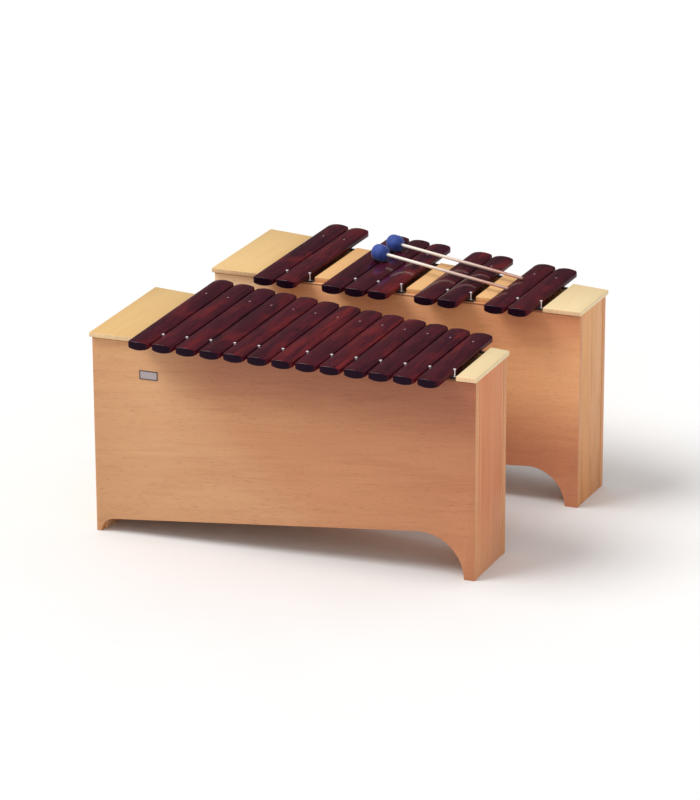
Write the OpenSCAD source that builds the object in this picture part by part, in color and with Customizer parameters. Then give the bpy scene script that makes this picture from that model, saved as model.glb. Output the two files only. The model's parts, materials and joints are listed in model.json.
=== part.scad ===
// Two-unit bass xylophone: a diatonic box and a chromatic box with their tone bars,
// pins, felt and resonator chambers, and two mallets resting on the chromatic bars.

/* [Box] */
// Length of the diatonic box over the end boards
length_a = 1000; // [800:0.5:1200]
// Depth of the diatonic box at the bass end
bass_depth_a = 353; // [280:1:420]
// Depth of the diatonic box at the treble end
treble_depth_a = 198; // [150:1:260]
// Length of the chromatic box over the end boards
length_b = 989.5; // [800:0.5:1200]
// Depth of the chromatic box at the bass end
bass_depth_b = 329; // [280:1:420]
// Depth of the chromatic box at the treble end
treble_depth_b = 170; // [150:1:260]
// Height of the walls
box_height = 522.4; // [300:0.1:700]
// Thickness of the long panels and end boards
board = 18; // [12:0.5:25]
// Thickness of the cap boards
cap_thick = 12; // [6:0.5:20]
// Cap overhang past the long panels
cap_over_y = 9; // [0:0.5:20]
// Cap overhang past the end boards
cap_over_x = 4; // [0:0.5:12]
// Depth of the eased groove line between end board and long panel
end_recess = 1; // [0:0.5:3]

/* [Foot arch] */
// Width of the bass foot on the floor
bass_foot = 12; // [8:1:40]
// Radius of the bass side curve
bass_arch_r = 38; // [20:1:80]
// Width of the diatonic treble foot on the floor
treble_foot_a = 28; // [15:1:60]
// Radius of the diatonic treble side curve
treble_arch_a = 115; // [60:1:160]
// Width of the chromatic treble foot on the floor
treble_foot_b = 35; // [15:1:60]
// Radius of the chromatic treble side curve
treble_arch_b = 98; // [60:1:160]

/* [Bars] */
// Width of every tone bar
bar_width = 58.7; // [45:0.1:61]
// Distance between neighbouring bar places on the diatonic box
pitch_a = 63; // [50:0.1:70]
// Distance between neighbouring bar places on the chromatic box
pitch_b = 62.3; // [50:0.1:70]
// Thickness of a bar at its crown
bar_thick = 22; // [15:0.5:30]
// Rise of the crowned top over a bar's edges
bar_crown = 4.4; // [1:0.1:9]
// Drop of the curved underside below a bar's edges
bar_belly = 6; // [1:0.1:9]
// Radius of the arc across a bar's two ends, seen from above
end_r = 150; // [60:1:300]
// Radius of the arc that rounds the corners of a bar's ends
corner_r = 32; // [30:0.5:60]
// Distance of that arc's crown beyond the bar's end
corner_rise = 8.5; // [0:0.1:12]
// Bar length on the diatonic box, carried on to the bass end of the box
bar_law_a = 532.2; // [400:0.1:600]
// Bar length on the chromatic box, carried on to the bass end of the box
bar_law_b = 502.1; // [400:0.1:600]
// Loss of bar length per millimetre along the box
bar_taper = 0.1935; // [0:0.0005:0.4]
// Rearward offset of the diatonic row at the bass end of its box
row_shift_a = 21.4; // [-30:0.1:30]
// Forward lean of the diatonic row per millimetre along its box
row_lean_a = 0.0405; // [0:0.0005:0.08]
// Rearward offset of the chromatic row at the bass end of its box
row_shift_b = 13.4; // [-30:0.1:30]
// Forward lean of the chromatic row per millimetre along its box
row_lean_b = 0.018; // [0:0.0005:0.08]
// Depth of the tuning hollow under each bar
tune_depth = 9; // [2:0.5:14]
// First bar's left edge on the diatonic box
first_bar_a = 125.5; // [100:0.1:200]
// First bar's left edge on the chromatic box
first_bar_b = 136.3; // [100:0.1:200]
// Radius of the hole at each bar's rear node
bar_hole_r = 3.4; // [2:0.1:5]

/* [Pins and felt] */
// Radius of a pin's shank
pin_r = 1.7; // [0.8:0.1:2]
// Radius of a front nail's head
pin_head_r = 3.6; // [1:0.1:4]
// Radius of a rear pin's head, in the mouth of its bar's hole
rear_head_r = 2.9; // [1:0.1:3.2]
// Radius of the shallow relief in the bars' sides beside each front nail
relief_r = 4.1; // [2.5:0.1:5]
// Depth of a pin in its wall
pin_depth = 16; // [8:1:30]
// Radius of a rubber sleeve on a rear pin
sleeve_r = 2.6; // [1.5:0.1:3]
// Height of the felt strip under the bars
felt_height = 4; // [2:0.5:8]
// Width of the felt strip
felt_width = 9; // [5:0.5:16]

/* [Chambers] */
// Thickness of a chamber partition
partition = 4; // [3:0.5:9]
// Thickness of the chamber floor
floor_thick = 9; // [5:0.5:15]
// Side of a corner post
post = 22; // [12:1:35]

/* [Plate and peg] */
// Width of the blank plate
plate_width = 48; // [20:1:80]
// Height of the blank plate
plate_height = 23; // [10:1:40]
// Height of the plate's centre above the floor
plate_z = 435.5; // [100:0.5:500]
// Radius of the peg in the end board
peg_r = 3.5; // [2:0.5:8]

/* [Unit position] */
// Shift of the chromatic box towards the treble end
shift_x = 71.7; // [0:0.1:200]
// Distance from the diatonic to the chromatic centre line, at the bass end
shift_y = 547.7; // [500:0.1:900]
// Turn of the chromatic box about its bass end
turn_b = -1.1; // [-5:0.1:5]

/* [Mallets] */
// Radius of a mallet head
head_r = 21.5; // [15:0.5:30]
// Length of a mallet head along its shaft
head_length = 44; // [30:1:60]
// Rounding of a mallet head's two ends
head_round = 16; // [3:0.5:20]
// Radius of a mallet shaft
shaft_r = 4.2; // [2.5:0.1:6]
// Distance from head centre to the shaft's butt
reach = 403; // [300:1:450]
// Clear gap between separate pieces
gap = 0.3; // [0.1:0.1:1]

/* [Hidden] */
$fn = 48;
eps = 0.05;
big = 3000;
$chromatic = false;
felt_top = box_height + felt_height;
bar_bottom = felt_top + gap;
bar_top = bar_bottom + bar_thick;
crown_r = bar_width * bar_width / 8 / bar_crown + bar_crown / 2;
belly_r = bar_width * bar_width / 8 / bar_belly + bar_belly / 2;
pin_top = bar_top - 1.6;
rear_top = bar_top - 0.4;
pin_head_t = 1.4;
places_a = [0:12];
places_b = [0, 1, 3, 4, 5, 7, 8, 10, 11];
groups_a = [[0, 12]];
groups_b = [[0, 1], [3, 5], [7, 8], [10, 11]];
side_gap_a = 3.5;
side_gap_b = 3;
tail_gap_a = 11.8;
tail_gap_b = 12.6;
floor_line_a = [37, treble_arch_a - 1];
floor_line_b = [37, treble_arch_b - 1];
arch_x0 = bass_foot + bass_arch_r;
first_a = first_bar_a + bar_width / 2;
first_b = first_bar_b + bar_width / 2;
least_y = row_y(first_a) - bar_half(first_a);
greatest_y = let ($chromatic = true) shift_y + sin(turn_b) * first_b
    + cos(turn_b) * (row_y(first_b) + bar_half(first_b) - end_r) + end_r;
greatest_x = let ($chromatic = true, x = length_b + cap_over_x)
    shift_x + cos(turn_b) * x - sin(turn_b) * (half_depth(x) + cap_over_y);
centre_x = (greatest_x - cap_over_x) / 2;
centre_y = (least_y + greatest_y) / 2;

// Sizes of the box being drawn: the chromatic one, or else the diatonic one.
function box_length() = $chromatic ? length_b : length_a;
function bass_depth() = $chromatic ? bass_depth_b : bass_depth_a;
function treble_depth() = $chromatic ? treble_depth_b : treble_depth_a;
function pitch() = $chromatic ? pitch_b : pitch_a;
function taper() = (bass_depth() - treble_depth()) / 2 / box_length();
// Half depth over the long panels, and wall centre line, at x along a box.
function half_depth(x) = bass_depth() / 2 - taper() * x;
function wall_y(x) = half_depth(x) - board / 2;
// Half length and middle of the bar whose centre is at x, and its left edge at place k.
function bar_half(x) = (($chromatic ? bar_law_b : bar_law_a) - bar_taper * x) / 2;
function row_y(x) = $chromatic ? row_shift_b - row_lean_b * x : row_shift_a - row_lean_a * x;
function bar_left(first, k) = first + k * pitch();
function bar_mid(first, k) = bar_left(first, k) + bar_width / 2;
function bar_gap() = pitch() - bar_width;
function pin_x(first, k) = bar_left(first, k) + bar_width + bar_gap() / 2;
function bar_end(first, k) = bar_left(first, k) + bar_width;
// Height of the sloping lower edge of the long panels at x.
function slope_z(line, x, x1) = line[0] + (line[1] - line[0]) * (x - arch_x0) / (x1 - arch_x0);
function arch_x1(foot, r) = box_length() - foot - r;

// Frames of the two boxes.
module unit_a() translate([-centre_x, -centre_y, 0]) children();
module unit_b() {
    $chromatic = true;
    translate([shift_x - centre_x, shift_y - centre_y, 0]) rotate([0, 0, turn_b]) children();
}

// Tapered plan between x0 and x1, moved out by grow (in by a negative value).
module plan(x0, x1, grow)
    polygon([
        [x0, -half_depth(x0) - grow], [x1, -half_depth(x1) - grow],
        [x1, half_depth(x1) + grow], [x0, half_depth(x0) + grow]
    ]);
module prism(x0, x1, grow, z0, z1)
    translate([0, 0, z0]) linear_extrude(z1 - z0) plan(x0, x1, grow);

// Space cut away under a box, seen from the front and run right through it.
module arch(foot, r, line) {
    x1 = arch_x1(foot, r);
    translate([0, big / 2, 0]) rotate([90, 0, 0]) linear_extrude(big) {
        polygon([[arch_x0, -9], [arch_x0, line[0]], [x1, line[1]], [x1, -9]]);
        translate([arch_x0, -1]) circle(r = bass_arch_r);
        translate([x1, -1]) circle(r = r);
    }
}
module arch_a() arch(treble_foot_a, treble_arch_a, floor_line_a);
module arch_b() arch(treble_foot_b, treble_arch_b, floor_line_b);

// Blind holes for the pins along one long wall.
module front_holes(first, places)
    for (k = places)
        translate([pin_x(first, k), -wall_y(pin_x(first, k)), box_height - pin_depth - 0.5])
            cylinder(r = pin_r + eps, h = big);
module rear_holes(first, places)
    for (k = places)
        translate([bar_mid(first, k), wall_y(bar_mid(first, k)), box_height - pin_depth - 0.5])
            cylinder(r = pin_r + eps, h = big);

// One long panel: side -1 is the front, 1 the rear.
module long_panel(side)
    linear_extrude(box_height)
        polygon([
            [0, side * half_depth(0)], [box_length(), side * half_depth(box_length())],
            [box_length(), side * (half_depth(box_length()) - board)],
            [0, side * (half_depth(0) - board)]
        ]);
module front_panel(first, places) {
    difference() {
        long_panel(-1);
        children();
        front_holes(first, places);
    }
}
module rear_panel(first, places) {
    difference() {
        long_panel(1);
        children();
        rear_holes(first, places);
    }
}

// End boards fit between the long panels and stand on the floor.
module end_board(x0) prism(x0, x0 + board, -board, 0, box_height);
module bass_end() end_board(end_recess);
module treble_end() end_board(box_length() - board - end_recess);

// Cap board from x0 to x1, overhanging both long panels.
module cap(x0, x1) prism(x0, x1, cap_over_y, box_height, box_height + cap_thick);
// Lower board over an empty place, lying on the walls' inner edges.
module gap_board(x0, x1) prism(x0, x1, 4 - board, box_height, box_height + cap_thick);

// Square posts glued in the four corners, standing on the chamber floor.
module posts(line, foot, r) {
    inner = end_recess + board;
    x1 = arch_x1(foot, r);
    intersection() {
        prism(0, box_length(), -board, 0, box_height);
        for (x = [inner, box_length() - inner - post]) {
            z0 = slope_z(line, x + post, x1) + 12 + floor_thick;
            for (s = [-1, 1])
                translate([x, s * (half_depth(x + post / 2) - board - post / 2) - post / 2 - 1, z0])
                    cube([post, post + 2, box_height - 1 - z0]);
        }
    }
}

// Sloping floor of the chambers.
module chamber_floor(line, foot, r) {
    x1 = arch_x1(foot, r);
    a = end_recess + board;
    b = box_length() - a;
    z0 = slope_z(line, a, x1) + 12;
    z1 = slope_z(line, b, x1) + 12;
    intersection() {
        prism(a, b, -board, 0, box_height);
        translate([0, big / 2, 0]) rotate([90, 0, 0]) linear_extrude(big)
            polygon([[a, z0], [b, z1], [b, z1 + floor_thick], [a, z0 + floor_thick]]);
    }
}
// Upright partitions between the floor and the wall tops.
module partition_set(xs, line, foot, r) {
    x1 = arch_x1(foot, r);
    intersection() {
        prism(0, box_length(), -board, 0, box_height);
        translate([0, big / 2, 0]) rotate([90, 0, 0]) linear_extrude(big)
            for (x = xs)
                polygon([
                    [x, slope_z(line, x, x1) + 12 + floor_thick],
                    [x + partition, slope_z(line, x + partition, x1) + 12 + floor_thick],
                    [x + partition, box_height], [x, box_height]
                ]);
    }
}
// Where the partitions stand: at each cover's edge, and midway between bars of a group.
function group_walls(first, g, lead, tail) = concat(
    [bar_left(first, g[0]) - lead - partition],
    [for (k = [g[0] + 1 : 1 : g[1]]) bar_left(first, k) - bar_gap() / 2 - partition / 2],
    [bar_end(first, g[1]) + tail]
);
walls_a = group_walls(first_bar_a, groups_a[0], side_gap_a, tail_gap_a);
walls_b = let ($chromatic = true) [for (g = groups_b) for (x = group_walls(first_bar_b, g, side_gap_b, tail_gap_b)) x];

// Felt strips on both wall tops under each group of bars, pierced by the pins.
module felt(first, groups, places, tail) {
    difference() {
        for (g = groups) for (s = [-1, 1]) {
            x0 = bar_left(first, g[0]);
            x1 = bar_end(first, g[1]) + tail - 2;
            translate([0, 0, box_height]) linear_extrude(felt_height)
                polygon([
                    [x0, s * (wall_y(x0) - felt_width / 2)], [x1, s * (wall_y(x1) - felt_width / 2)],
                    [x1, s * (wall_y(x1) + felt_width / 2)], [x0, s * (wall_y(x0) + felt_width / 2)]
                ]);
        }
        front_holes(first, places);
        rear_holes(first, places);
    }
}

// Headed nail standing in the wall top.
module pin(top, head_radius) {
    translate([0, 0, box_height - pin_depth]) cylinder(r = pin_r, h = top - box_height + pin_depth);
    translate([0, 0, top - pin_head_t]) cylinder(r = head_radius, h = pin_head_t);
}
module front_pins(first, places)
    for (k = places) translate([pin_x(first, k), -wall_y(pin_x(first, k)), 0])
        pin(pin_top, pin_head_r);
module rear_pins(first, places)
    for (k = places) translate([bar_mid(first, k), wall_y(bar_mid(first, k)), 0])
        pin(rear_top, rear_head_r);
module sleeves(first, places)
    for (k = places)
        translate([bar_mid(first, k), wall_y(bar_mid(first, k)), felt_top]) difference() {
            cylinder(r = sleeve_r, h = bar_thick - 6);
            translate([0, 0, -1]) cylinder(r = pin_r + eps, h = bar_thick);
        }

// Tone bar: crowned above, curved below, arched at both ends, hollowed under the middle
// and drilled at the rear node.
module round_ends(half, r) {
    square([bar_width + 2, 2 * (half - r)], center = true);
    for (s = [-1, 1]) translate([0, s * (half - r)]) circle(r = r);
}
module bar_plan(half) intersection() {
    square([bar_width, 3 * half], center = true);
    round_ends(half, end_r);
    round_ends(half + corner_rise, corner_r);
}
module tone_bar(first, k) {
    x = bar_mid(first, k);
    half = bar_half(x);
    flat = half * 0.36;
    tune_r = (flat * flat + tune_depth * tune_depth) / 2 / tune_depth;
    difference() {
        translate([x, row_y(x), bar_bottom]) difference() {
            intersection() {
                translate([0, half + 2, 0]) rotate([90, 0, 0]) linear_extrude(2 * half + 4)
                    intersection() {
                        translate([0, bar_thick - crown_r]) circle(r = crown_r);
                        translate([0, belly_r]) circle(r = belly_r);
                    }
                translate([0, 0, -2]) linear_extrude(bar_thick + 4) bar_plan(half);
            }
            translate([-bar_width, 0, tune_depth - tune_r]) rotate([0, 90, 0])
                cylinder(r = tune_r, h = 2 * bar_width);
        }
        translate([x, wall_y(x), 0]) cylinder(r = bar_hole_r, h = big);
        for (s = [-1, 1])
            translate([x + s * pitch() / 2, -wall_y(x + s * pitch() / 2), 0])
                cylinder(r = relief_r, h = big);
    }
}

// Mallet frames: the head rests on a chromatic bar, and the butt on another.
function bar_surface(dx) = bar_top - crown_r + sqrt(crown_r * crown_r - dx * dx);
function head_profile(u) = let (e = max(0, abs(u) - head_length / 2 + head_round))
    head_r - head_round + sqrt(head_round * head_round - e * e);
function head_z(dx) = gap + max([for (u = [-head_length / 2 : 0.5 : head_length / 2])
    bar_surface(dx + u) + head_profile(u) + u * (head_r - shaft_r) / reach]);
function droop(dx) = asin((head_z(dx) - bar_top - shaft_r - gap) / reach);
module mallet_at(place, dx, y, yaw)
    unit_b() translate([bar_mid(first_bar_b, place) + dx, y, head_z(dx)]) rotate([0, 0, yaw])
        rotate([0, droop(dx), 0]) rotate([0, 90, 0]) children();
module mallet_1() mallet_at(4, -31, 28, -11.6) children();
module mallet_2() mallet_at(4, -27.5, 112, -11.2) children();
socket = head_length / 2 - 8;
module shaft() {
    translate([0, 0, -socket]) cylinder(r = shaft_r, h = reach + socket - shaft_r);
    translate([0, 0, reach - shaft_r]) sphere(r = shaft_r);
}
// Rounded barrel, drilled for the shaft.
module head() difference() {
    rotate_extrude() intersection() {
        translate([0, -head_length]) square([2 * head_r, 2 * head_length]);
        union() {
            translate([0, -head_length / 2]) square([head_r - head_round, head_length]);
            translate([0, head_round - head_length / 2])
                square([head_r, head_length - 2 * head_round]);
            for (s = [-1, 1])
                translate([head_r - head_round, s * (head_length / 2 - head_round)])
                    circle(r = head_round);
        }
    }
    translate([0, 0, -socket - eps]) cylinder(r = shaft_r + eps, h = head_length);
}

wood = [0.78, 0.55, 0.36];
pale = [0.92, 0.80, 0.58];
inner_wood = [0.70, 0.52, 0.36];
rosewood = [0.27, 0.10, 0.13];
nickel = [0.80, 0.80, 0.82];
dark = [0.12, 0.11, 0.11];

// Diatonic box.
module front_panel_a() color(wood) unit_a() front_panel(first_bar_a, places_a) arch_a();
module rear_panel_a() color(wood) unit_a() rear_panel(first_bar_a, places_a) arch_a();
module bass_end_a() color(wood) unit_a() bass_end();
module treble_end_a() color(wood) unit_a() difference() {
    treble_end();
    translate([box_length() - 10, 13, 471]) rotate([0, 90, 0]) cylinder(r = peg_r + eps, h = 20);
}
module bass_cap_a() color(pale) unit_a() cap(-cap_over_x, bar_left(first_bar_a, 0) - side_gap_a);
module treble_cap_a() color(pale) unit_a()
    cap(bar_end(first_bar_a, 12) + tail_gap_a, box_length() + cap_over_x);
module corner_posts_a() color(inner_wood) unit_a()
    posts(floor_line_a, treble_foot_a, treble_arch_a);
module chamber_floor_a() color(inner_wood) unit_a()
    chamber_floor(floor_line_a, treble_foot_a, treble_arch_a);
module partitions_a() color(inner_wood) unit_a()
    partition_set(walls_a, floor_line_a, treble_foot_a, treble_arch_a);
module felt_strips_a() color(dark) unit_a() felt(first_bar_a, groups_a, places_a, tail_gap_a);
module front_pins_a() color(nickel) unit_a() front_pins(first_bar_a, places_a);
module rear_pins_a() color(nickel) unit_a() rear_pins(first_bar_a, places_a);
module pin_sleeves_a() color(dark) unit_a() sleeves(first_bar_a, places_a);
module name_plate() color(nickel) unit_a()
    translate([149, -half_depth(149), plate_z]) rotate([0, 0, atan(taper())])
        difference() {
            translate([-plate_width / 2, -1.5, -plate_height / 2])
                cube([plate_width, 1.5, plate_height]);
            translate([-plate_width / 2 + 2, -2.5, -plate_height / 2 + 2])
                cube([plate_width - 4, 1.6, plate_height - 4]);
        }
module end_peg() color(pale) unit_a()
    translate([box_length() - 10, 13, 471]) rotate([0, 90, 0]) cylinder(r = peg_r, h = 10.5);
module bar_a(k) color(rosewood) unit_a() tone_bar(first_bar_a, k);
module bar_c3() bar_a(0);
module bar_d3() bar_a(1);
module bar_e3() bar_a(2);
module bar_f3() bar_a(3);
module bar_g3() bar_a(4);
module bar_a3() bar_a(5);
module bar_b3() bar_a(6);
module bar_c4() bar_a(7);
module bar_d4() bar_a(8);
module bar_e4() bar_a(9);
module bar_f4() bar_a(10);
module bar_g4() bar_a(11);
module bar_a4() bar_a(12);

// Chromatic box.
module front_panel_b() color(wood) unit_b() front_panel(first_bar_b, places_b) arch_b();
module rear_panel_b() color(wood) unit_b() rear_panel(first_bar_b, places_b) arch_b();
module bass_end_b() color(wood) unit_b() bass_end();
module treble_end_b() color(wood) unit_b() treble_end();
module bass_cap_b() color(pale) unit_b() cap(-cap_over_x, bar_left(first_bar_b, 0) - side_gap_b);
module treble_cap_b() color(pale) unit_b()
    cap(bar_end(first_bar_b, 11) + tail_gap_b, box_length() + cap_over_x);
module cover(left, right) color(pale) unit_b()
    gap_board(bar_end(first_bar_b, left) + tail_gap_b, bar_left(first_bar_b, right) - side_gap_b);
module gap_board_1() cover(1, 3);
module gap_board_2() cover(5, 7);
module gap_board_3() cover(8, 10);
module corner_posts_b() color(inner_wood) unit_b()
    posts(floor_line_b, treble_foot_b, treble_arch_b);
module chamber_floor_b() color(inner_wood) unit_b()
    chamber_floor(floor_line_b, treble_foot_b, treble_arch_b);
module partitions_b() color(inner_wood) unit_b()
    partition_set(walls_b, floor_line_b, treble_foot_b, treble_arch_b);
module felt_strips_b() color(dark) unit_b() felt(first_bar_b, groups_b, places_b, tail_gap_b);
module front_pins_b() color(nickel) unit_b() front_pins(first_bar_b, places_b);
module rear_pins_b() color(nickel) unit_b() rear_pins(first_bar_b, places_b);
module pin_sleeves_b() color(dark) unit_b() sleeves(first_bar_b, places_b);
module bar_b(k) color(rosewood) unit_b() tone_bar(first_bar_b, k);
module bar_cs3() bar_b(0);
module bar_ds3() bar_b(1);
module bar_fs3() bar_b(3);
module bar_gs3() bar_b(4);
module bar_as3() bar_b(5);
module bar_cs4() bar_b(7);
module bar_ds4() bar_b(8);
module bar_fs4() bar_b(10);
module bar_gs4() bar_b(11);

// Mallets.
module mallet_1_shaft() color([0.90, 0.80, 0.70]) mallet_1() shaft();
module mallet_1_head() color([0.16, 0.30, 0.62]) mallet_1() head();
module mallet_2_shaft() color([0.90, 0.80, 0.70]) mallet_2() shaft();
module mallet_2_head() color([0.16, 0.30, 0.62]) mallet_2() head();

// Drawing.
front_panel_a();
rear_panel_a();
bass_end_a();
treble_end_a();
bass_cap_a();
treble_cap_a();
corner_posts_a();
chamber_floor_a();
partitions_a();
felt_strips_a();
front_pins_a();
rear_pins_a();
pin_sleeves_a();
name_plate();
end_peg();
bar_c3();
bar_d3();
bar_e3();
bar_f3();
bar_g3();
bar_a3();
bar_b3();
bar_c4();
bar_d4();
bar_e4();
bar_f4();
bar_g4();
bar_a4();
front_panel_b();
rear_panel_b();
bass_end_b();
treble_end_b();
bass_cap_b();
treble_cap_b();
gap_board_1();
gap_board_2();
gap_board_3();
corner_posts_b();
chamber_floor_b();
partitions_b();
felt_strips_b();
front_pins_b();
rear_pins_b();
pin_sleeves_b();
bar_cs3();
bar_ds3();
bar_fs3();
bar_gs3();
bar_as3();
bar_cs4();
bar_ds4();
bar_fs4();
bar_gs4();
mallet_1_shaft();
mallet_1_head();
mallet_2_shaft();
mallet_2_head();
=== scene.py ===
"""Two-unit bass xylophone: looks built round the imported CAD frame. Metres."""

import json
import math
import random

import bmesh
import bpy
import numpy as np
from mathutils import Matrix, Vector


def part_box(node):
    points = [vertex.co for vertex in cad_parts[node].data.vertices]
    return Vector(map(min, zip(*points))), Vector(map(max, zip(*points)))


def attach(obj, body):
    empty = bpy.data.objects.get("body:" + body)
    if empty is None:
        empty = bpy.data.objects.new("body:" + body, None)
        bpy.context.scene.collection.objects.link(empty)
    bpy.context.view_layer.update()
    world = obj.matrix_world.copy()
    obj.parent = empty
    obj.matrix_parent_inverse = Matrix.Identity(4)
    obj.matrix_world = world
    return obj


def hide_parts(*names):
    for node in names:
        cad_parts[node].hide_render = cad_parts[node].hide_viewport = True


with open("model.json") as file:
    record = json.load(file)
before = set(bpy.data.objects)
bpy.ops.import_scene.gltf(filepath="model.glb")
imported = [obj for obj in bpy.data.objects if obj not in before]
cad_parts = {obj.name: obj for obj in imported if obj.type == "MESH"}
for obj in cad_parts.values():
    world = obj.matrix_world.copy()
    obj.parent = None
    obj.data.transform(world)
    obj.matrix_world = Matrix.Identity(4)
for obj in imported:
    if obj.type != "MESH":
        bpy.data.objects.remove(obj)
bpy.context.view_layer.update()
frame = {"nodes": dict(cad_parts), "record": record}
NODES = frame["nodes"]
BODY_OF = {n: b for b, ns in frame["record"]["behaviour"]["bodies"].items() for n in ns}

# Sizes that repeat the part's own; "a" is the diatonic box and "b" the chromatic one.
LENGTH = {"a": 1.0, "b": 0.9895}
BASS_DEPTH = {"a": 0.353, "b": 0.329}
TREBLE_DEPTH = {"a": 0.198, "b": 0.170}
HEIGHT, BOARD, CAP_THICK, CAP_OVER_Y = 0.5224, 0.018, 0.012, 0.009
CAP_OVER_X, END_INSET = 0.004, 0.001
BAR_W, BAR_T, CROWN, BELLY = 0.0587, 0.022, 0.0044, 0.006
# Plan of a bar's end: a wide arc whose corners are taken off by a small one.
END_R, CORNER_R, CORNER_RISE = 0.150, 0.032, 0.0085
PITCH = {"a": 0.063, "b": 0.0623}
FIRST = {"a": 0.1255, "b": 0.1363}
# Bar length at x is BAR_LAW - BAR_TAPER * x; its middle lies at ROW[0] - ROW[1] * x.
BAR_LAW = {"a": 0.5322, "b": 0.5021}
BAR_TAPER = 0.1935
ROW = {"a": (0.0214, 0.0405), "b": (0.0134, 0.018)}
FELT_H = 0.004
HOLE_R, RELIEF_R = 0.0034, 0.0041
TUNE = 0.009
PLACES = {"a": range(13), "b": (0, 1, 3, 4, 5, 7, 8, 10, 11)}
# Foot width and arch radius at the treble end; arch centres lie ARCH_DROP under the floor.
ARCH = {"a": (0.028, 0.115), "b": (0.035, 0.098)}
BASS_ARCH_R, BASS_FOOT, ARCH_DROP = 0.038, 0.012, 0.001
# Place of the chromatic box in the diatonic box's frame.
SHIFT, TURN = (0.0717, 0.5477), math.radians(-1.1)
BARS = {
    "a": "c3 d3 e3 f3 g3 a3 b3 c4 d4 e4 f4 g4 a4".split(),
    "b": "cs3 ds3 fs3 gs3 as3 cs4 ds4 fs4 gs4".split(),
}


def taper(u):
    return (BASS_DEPTH[u] - TREBLE_DEPTH[u]) / 2 / LENGTH[u]


def half_depth(u, x):
    return BASS_DEPTH[u] / 2 - taper(u) * x


def wall_y(u, x):
    return half_depth(u, x) - BOARD / 2


def bar_half(u, x):
    return (BAR_LAW[u] - BAR_TAPER * x) / 2


def row_y(u, x):
    return ROW[u][0] - ROW[u][1] * x


def bar_left(u, k):
    return FIRST[u] + k * PITCH[u]


def bar_right(u, k):
    return bar_left(u, k) + BAR_W


def bar_mid(u, k):
    return bar_left(u, k) + BAR_W / 2


# Each box's own frame: bass end outer face, centre line, floor.
_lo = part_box("front_panel_a")[0]
_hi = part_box("rear_panel_a")[1]
CORNER_A = Vector((_lo.x, (_lo.y + _hi.y) / 2, 0))
FRAME = {
    "a": Matrix.Translation(CORNER_A),
    "b": Matrix.Translation(CORNER_A + Vector((*SHIFT, 0))) @ Matrix.Rotation(TURN, 4, "Z"),
}


# ---------------------------------------------------------------- materials


class Tree:
    """Small helper for building a node material."""

    def __init__(self, name):
        self.mat = bpy.data.materials.new(name)
        self.mat.use_nodes = True
        self.nt = self.mat.node_tree
        self.bsdf = self.nt.nodes["Principled BSDF"]

    def new(self, kind, **values):
        node = self.nt.nodes.new("ShaderNode" + kind)
        for k, v in values.items():
            setattr(node, k, v)
        return node

    def link(self, a, b):
        self.nt.links.new(a, b)

    def set(self, **values):
        for k, v in values.items():
            self.bsdf.inputs[k.replace("_", " ")].default_value = v

    def place(self):
        """Object coordinates, in metres."""
        return self.new("TexCoord").outputs["Object"]

    def normal(self):
        """Separated object normal."""
        parts = self.new("SeparateXYZ")
        self.link(self.new("TexCoord").outputs["Normal"], parts.inputs[0])
        return parts.outputs

    def noise(self, scale, detail, rough=0.55, distort=0.0, rot=(0, 0, 0), loc=(0, 0, 0)):
        """Noise with scale cycles per metre along X, Y and Z of the turned, moved coordinates."""
        turned = self.new("Mapping")
        turned.inputs["Rotation"].default_value = rot
        turned.inputs["Location"].default_value = loc
        self.link(self.place(), turned.inputs["Vector"])
        scaled = self.new("Mapping")
        scaled.inputs["Scale"].default_value = scale
        self.link(turned.outputs[0], scaled.inputs["Vector"])
        n = self.new("TexNoise")
        n.inputs["Scale"].default_value = 1
        n.inputs["Detail"].default_value = detail
        n.inputs["Roughness"].default_value = rough
        n.inputs["Distortion"].default_value = distort
        self.link(scaled.outputs[0], n.inputs["Vector"])
        return n.outputs["Fac"]

    def span(self, fac, lo, hi, to_lo=0.0, to_hi=1.0):
        """Maps lo..hi to to_lo..to_hi, held at both ends."""
        m = self.new("MapRange")
        m.clamp = True
        for k, v in (("From Min", lo), ("From Max", hi), ("To Min", to_lo), ("To Max", to_hi)):
            m.inputs[k].default_value = v
        self.link(fac, m.inputs["Value"])
        return m.outputs["Result"]

    def math(self, op, a, b=None):
        m = self.new("Math", operation=op)
        for i, v in enumerate((a, b)):
            if isinstance(v, (int, float)):
                m.inputs[i].default_value = v
            elif v is not None:
                self.link(v, m.inputs[i])
        return m.outputs[0]

    def times(self, a, b):
        return self.math("MULTIPLY", a, b)

    def mix(self, fac, a, b, blend="MIX"):
        m = self.new("Mix", data_type="RGBA", blend_type=blend)
        for i, v in ((0, fac), (6, a), (7, b)):
            if isinstance(v, (int, float)):
                m.inputs[i].default_value = v
            elif isinstance(v, tuple):
                m.inputs[i].default_value = (*v, 1)
            else:
                self.link(v, m.inputs[i])
        return m.outputs[2]

    def bump(self, height, strength, distance):
        b = self.new("Bump")
        b.inputs["Strength"].default_value = strength
        b.inputs["Distance"].default_value = distance
        self.link(height, b.inputs["Height"])
        self.link(b.outputs[0], self.bsdf.inputs["Normal"])

    def color(self, value):
        self.link(value, self.bsdf.inputs["Base Color"])

    def rough(self, value):
        self.link(value, self.bsdf.inputs["Roughness"])


def lin(r, g, b):
    """Linear colour from 0-255 display values."""
    def one(c):
        c /= 255
        return c / 12.92 if c <= 0.04045 else ((c + 0.055) / 1.055) ** 2.4
    return one(r), one(g), one(b)


def stretch(axis, along, across):
    """Cycles per metre for a grain that runs along axis."""
    return tuple(along if a == axis else across for a in "XYZ")


def darker(color, share):
    return tuple(c * share for c in color)


# Timber pattern, in cycles per metre along and across the grain.
BROAD, FIGURE, FINE, FLECK = (0.9, 7), (5.0, 54), (9, 420), (55, 460)
FIGURE_MIX, FINE_MIX = 0.34, 0.20
END_RINGS = (260, 260, 14)


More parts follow.
